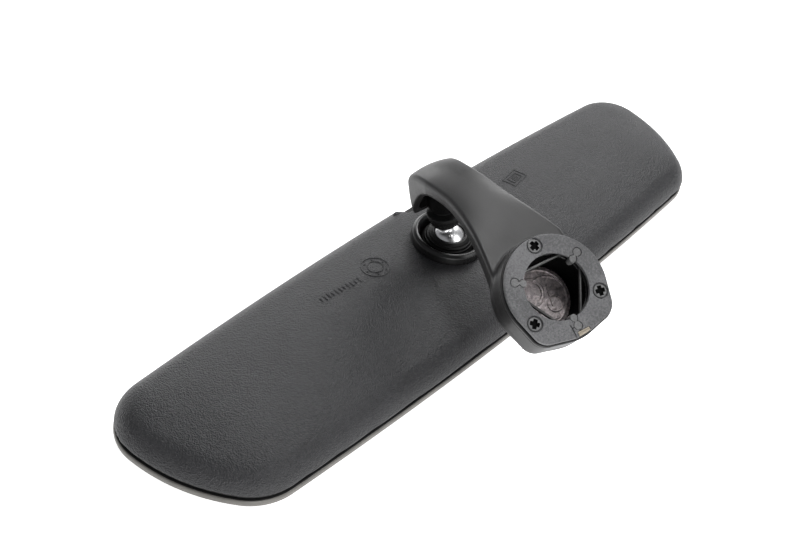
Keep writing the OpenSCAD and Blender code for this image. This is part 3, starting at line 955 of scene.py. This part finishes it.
for k, a in enumerate(SCREW_ANGLES):
    place = FOOT @ Matrix.Rotation(math.radians(a), 4, "Z") @ Matrix.Translation((SCREW_RING, 0, 0))
    screw = solid(f"screw_{k}", screw_shape, (-2.3, -2.3, -1.3), (2.3, 2.3, 0.4), 0.055, place)
    piece(screw, "arm", "screw_black", *(["foot_screws"] if k == 0 else []))
    # painted shade: the faces of each screw's cross slot get the near-black material
    darken(screw, MATERIALS["painted_shade_black"], screw_slot, place, 0.1)


def plugs_shape(u, v, n):
    return smax(smax(plug_field(u, v, 0.0), n + 0.06, 0.18), -n - 3.2, 0.05)


plugs = solid("plugs", plugs_shape, (-14, -14.3, -3.5), (14, 8.5, 0.3), (0.14, 0.14, 0.14), FOOT)
piece(plugs, "arm", "plug_grey", "spring_plugs")


def spring_path():
    """Three straight runs joined by bends round the posts, open at one side."""
    bend = POST_R + 0.55
    pts = []
    for k in range(3):
        a = 30 + 120 * k
        c = np.array(polar((0, 0), POST_RING, a))
        for t in np.linspace(-60, 60, 13):
            pts.append(list(c + bend * np.array(polar((0, 0), 1, a + t))))
        c2 = np.array(polar((0, 0), POST_RING, a + 120))
        s = np.array(pts[-1])
        e = c2 + bend * np.array(polar((0, 0), 1, a + 60))
        for t in np.linspace(0, 1, 12)[1:-1]:
            pts.append(list(s * (1 - t) + e * t))
    return np.column_stack([np.array(pts), np.full(len(pts), -2.5)])


piece(tube("spring", spring_path(), 0.5, FOOT, 14, True), "arm", "spring_steel", "lock_spring")


def disc_shape(u, v, n):
    d = np.hypot(u, v)
    depth = -SOCKET_DEPTH
    base = smax(d - 9.95, np.maximum(n - (depth - 0.9), depth - 1.5 - n), 0.0)
    raised = smax(smax(d - 8.8, n - depth, 0.25), depth - 1.5 - n, 0.0)
    shape = np.minimum(base, raised)
    rc = np.hypot(u + 1.7, v - 2.5)
    shape = smax(shape, -smax(rc - 3.2, depth - 0.5 - n, 0.1), 0.15)
    ridges = None
    for r, cx, cy in ((4.1, -1.7, 2.5), (6.6, 2.0, -1.0), (2.4, 3.4, -3.4)):
        ring = np.abs(np.hypot(u - cx, v - cy) - r) - 0.16
        ridges = ring if ridges is None else np.minimum(ridges, ring)
    for a, off in ((35, 2.2), (80, -3.0), (140, 4.4)):
        p, q = turned(u, v, a)
        bar = np.maximum(np.abs(q - off) - 0.16, np.abs(p) - 3.4)
        ridges = np.minimum(ridges, bar)
    ridges = np.maximum(np.maximum(ridges, d - 8.2), 3.4 - rc)
    ridges = np.minimum(ridges, np.abs(d - 8.5) - 0.22)
    raised_ridges = smax(ridges, np.maximum(n - depth - 0.34, depth - 0.3 - n), 0.1)
    return smin(shape, raised_ridges, 0.1)


disc_low, disc_high = (-10.2, -10.2, -SOCKET_DEPTH - 1.8), (10.2, 10.2, -SOCKET_DEPTH + 0.5)
disc = solid("disc", disc_shape, disc_low, disc_high, (0.17, 0.17, 0.13), FOOT)
piece(disc, "arm", "cast_zinc", "socket_disc")


def tab_shape(u, v, n):
    sides = (TAB_X[0] + 0.15, TAB_X[1] - 0.15)
    shape = box_field(u, v, n, sides, (-20, TAB_Y - 0.1), (-COVER_T, -0.05), 0.12)
    shape = smax(shape, np.hypot(u, v) - FOOT_R + 0.2, 0.15)
    groove = np.maximum(np.abs(v + 14.6) - 0.09, -0.25 - n)
    return smax(shape, -groove, 0.05)


tab = solid("tab", tab_shape, (-1.4, -15.8, -1.4), (3.2, -13.8, 0.2), 0.08, FOOT)
piece(tab, "arm", "tab_beige", "release_tab")

# ---------------------------------------------------------------- lever, marks and bead
LEVER_X, LEVER_Y, LEVER_Z = (17.0, 29.0), 19.5, 8.0


def lever_shape(x, y, z):
    side = np.maximum(LEVER_X[0] - x, x - LEVER_X[1])
    hub = np.hypot(y - LEVER_Y, z - LEVER_Z) - 2.0
    finger = box_field(x, y, z, LEVER_X, (LEVER_Y, 33.4), (LEVER_Z - 1, LEVER_Z + 1), 0.3)
    rise = np.clip((y - 30.8) / 1.6, 0, 1)
    lip = smax(
        np.maximum(side, np.maximum(30.6 - y, y - 33.5)),
        np.maximum(z - LEVER_Z - 0.9 - 0.65 * rise, LEVER_Z - 0.95 - z),
        0.35,
    )
    slope = (z - LEVER_Z) - (y - LEVER_Y) * 0.36
    tongue = smax(np.maximum(side, np.maximum(11.55 - y, y - LEVER_Y)), np.abs(slope + 0.1) - 0.75, 0.3)
    tongue = smax(tongue, 4.75 - z, 0.1)
    shape = smax(smin(smin(hub, smin(finger, lip, 0.3), 0.6), tongue, 0.5), side, 0.3)
    ribs = np.maximum(np.abs((y - 26.6 + 0.8) % 1.6 - 0.8) - 0.28, np.abs(y - 27.4) - 2.6)
    ribs = np.maximum(ribs, np.abs(x - 23.0) - 4.6)
    shape = smax(shape, -np.maximum(ribs, LEVER_Z + 0.75 - z), 0.12)
    return np.maximum(shape, 1.05 - np.hypot(y - LEVER_Y, z - LEVER_Z))


lever = solid("lever", lever_shape, (16.4, 10.8, 4.2), (29.6, 34.0, 10.6), (0.3, 0.2, 0.16))
piece(lever, "lever", "trim_black", "day_night_lever")


def surface_z(x, y):
    """Height of the head's back above a point."""
    low, high = np.full(np.shape(x), 3.0), np.full(np.shape(x), HEAD_TOP + 1.0)
    for _ in range(24):
        middle = (low + high) / 2
        inside = pillow(np.asarray(x), np.asarray(y), middle) < 0
        low, high = np.where(inside, middle, low), np.where(inside, high, middle)
    return (low + high) / 2


class Marks:
    """Collects raised marks into one mesh."""

    def __init__(self):
        self.points, self.faces, self.count = [], [], 0

    def strip(self, inner, outer, turn, place, height=0.2):
        """A closed band between two loops with the same number of points."""
        c, s = math.cos(math.radians(turn)), math.sin(math.radians(turn))
        m = np.array([[c, s], [-s, c]])
        a = np.asarray(inner, float) @ m + np.array(place)
        b = np.asarray(outer, float) @ m + np.array(place)
        rows = []
        for ring, lift in ((b, -0.2), (b * 0.8 + a * 0.2, height), (a * 0.8 + b * 0.2, height), (a, -0.2)):
            rows.append(np.column_stack([ring, surface_z(ring[:, 0], ring[:, 1]) + lift]))
        n = len(a)
        faces = grid_faces(4, n, True)
        self.points.append(np.concatenate(rows))
        self.faces += [tuple(self.count + i for i in f) for f in faces]
        self.count += 4 * n

    def bar(self, half_length, half_width, turn, place, height=0.2):
        """A short straight bar."""
        x = np.array([-1, -0.5, 0, 0.5, 1, 1, 1, 0.5, 0, -0.5, -1, -1]) * half_length
        y = np.array([-1, -1, -1, -1, -1, 0, 1, 1, 1, 1, 1, 0]) * half_width
        outer = np.column_stack([x, y])
        inner = np.column_stack([x * 0.02, y * 0.0])
        inner[:, 0] = x * (1 - half_width / half_length)
        self.strip(inner, outer, turn, place, height)


def circle(r, n=48):
    t = np.linspace(0, 2 * math.pi, n, endpoint=False)
    return np.column_stack([r * np.cos(t), r * np.sin(t)])


def frame_loop(w, h, n=6):
    t = np.linspace(-1, 1, n + 1)[:-1]
    return np.concatenate(
        [
            np.column_stack([w * t, np.full(n, -h)]),
            np.column_stack([np.full(n, w), h * t]),
            np.column_stack([-w * t, np.full(n, h)]),
            np.column_stack([np.full(n, -w), -h * t]),
        ]
    )


marks = Marks()
ROUND_AT, PIN_AT, PLATE_AT = (-28.7, 11.7), (-19.5, 10.8), (45.6, 11.4)
ROW_FROM, ROW_TO = (-52.7, 12.3), (-37.2, 10.8)
marks.strip(circle(4.4), circle(4.85), 0, ROUND_AT)
marks.strip(circle(2.5), circle(2.8), 0, ROUND_AT)
for k in range(6):
    spot = np.array(ROUND_AT) + 3.6 * np.array([math.cos(k * math.pi / 3), math.sin(k * math.pi / 3)])
    marks.strip(circle(0.12, 10), circle(0.34, 10), 0, spot)
row = np.array(ROW_TO) - np.array(ROW_FROM)
row_turn = math.degrees(math.atan2(row[1], row[0]))
for k in range(11):
    long_bar = 1.3 if k % 3 else 0.85
    marks.bar(long_bar, 0.22, row_turn + 90, np.array(ROW_FROM) + row * k / 10)
marks.strip(circle(0.25, 16), circle(0.5, 16), 0, PIN_AT, 0.06)
marks.strip(frame_loop(4.1, 2.5), frame_loop(4.4, 2.8), 8, PLATE_AT)
marks.strip(frame_loop(2.5, 1.4), frame_loop(2.75, 1.65), 8, PLATE_AT)
for k in range(3):
    marks.bar(1.4, 0.16, 8, np.array(PLATE_AT) + np.array([0.0, (k - 1) * 0.75]))
piece(add_mesh("back_marks", np.concatenate(marks.points), marks.faces), "head", "housing_black")


def bead_shape(x, y, z):
    return np.sqrt(((x + 0.6) / 1.6) ** 2 + ((y - 26.8) / 1.1) ** 2 + ((z - 10.0) / 1.1) ** 2) * 1.1 - 1.1


bead = solid("bead", bead_shape, (-3, 25, 8), (2, 30, 13), 0.2)
piece(bead, "head", "housing_black")

# ---------------------------------------------------------------- camera, floor and light
AZIMUTH, ELEVATION, ROLL, DISTANCE, LENS = -56.92, 42.92, 12.55, 386.31, 52.04
LOOK_AT = np.array([-14.66, 10.5, 0.0])
a, e, r = (math.radians(t) for t in (AZIMUTH, ELEVATION, ROLL))
back = np.array([math.sin(a) * math.cos(e), -math.cos(a) * math.cos(e), math.sin(e)])
right = np.array([math.cos(a), math.sin(a), 0.0])
upward = np.cross(back, right)
cam_x = right * math.cos(r) + upward * math.sin(r)
cam_y = -right * math.sin(r) + upward * math.cos(r)
camera = bpy.data.objects.new("camera", bpy.data.cameras.new("camera"))
bpy.context.scene.collection.objects.link(camera)
place = Matrix.Identity(4)
for i in range(3):
    place[i][0], place[i][1], place[i][2] = cam_x[i], cam_y[i], back[i]
    place[i][3] = (LOOK_AT[i] + back[i] * DISTANCE) * MM
camera.matrix_world = place
camera.data.lens = LENS
camera.data.sensor_width = 36.0
camera.data.clip_start = 0.01
bpy.context.scene.camera = camera

floor = add_mesh(
    "floor",
    [(x * 3000, y * 3000, -0.02) for x, y in ((-1, -1), (1, -1), (1, 1), (-1, 1))],
    [(0, 1, 2, 3)],
)
floor_mat = Nodes("floor")
floor_tone = floor_mat.noise(3.0, 3.0, 0.5)
floor_mat.set(
    Base_Color=floor_mat.ramp(floor_tone, [(0.3, (0.88, 0.88, 0.88)), (0.7, (0.9, 0.9, 0.9))]),
    Roughness=0.6,
    Emission_Color=(1.0, 1.0, 1.0, 1.0),
    Emission_Strength=0.88,
)
paint(floor, floor_mat.mat)

world = bpy.data.worlds.new("studio")
bpy.context.scene.world = world
world.use_nodes = True
world.node_tree.nodes["Background"].inputs["Color"].default_value = (0.95, 0.96, 1.0, 1)
world.node_tree.nodes["Background"].inputs["Strength"].default_value = 0.24


def softbox(name, where, aim, size, power, colour=(1, 1, 1)):
    light = bpy.data.lights.new(name, "AREA")
    light.shape = "RECTANGLE"
    light.size, light.size_y = size
    light.energy = power
    light.color = colour
    obj = bpy.data.objects.new(name, light)
    bpy.context.scene.collection.objects.link(obj)
    obj.location = Vector(where)
    obj.rotation_mode = "QUATERNION"
    obj.rotation_quaternion = (Vector(where) - Vector(aim)).to_track_quat("Z", "Y")
    return obj


softbox("key", (0.25, 0.3, 0.75), (0, 0, 0), (0.45, 0.45), 2.2)
softbox("far_side", (0.8, 0.3, 0.5), (0, 0, 0), (0.35, 0.35), 3.6)
softbox("behind", (0.35, 0.75, 0.24), (0, 0, 0), (0.3, 0.3), 1.7)
softbox("front", (0.28, -0.55, 0.5), (0, 0, 0), (0.5, 0.5), 1.8)
softbox("ridge", (0.03, -0.04, 0.8), (-0.08, 0, 0), (0.3, 0.12), 1.8)
softbox("near_side", (-0.35, -0.5, 0.12), (-0.05, 0, 0), (0.3, 0.2), 1.3)

bpy.context.scene.view_settings.view_transform = "Standard"
bpy.context.scene.view_settings.look = "None"
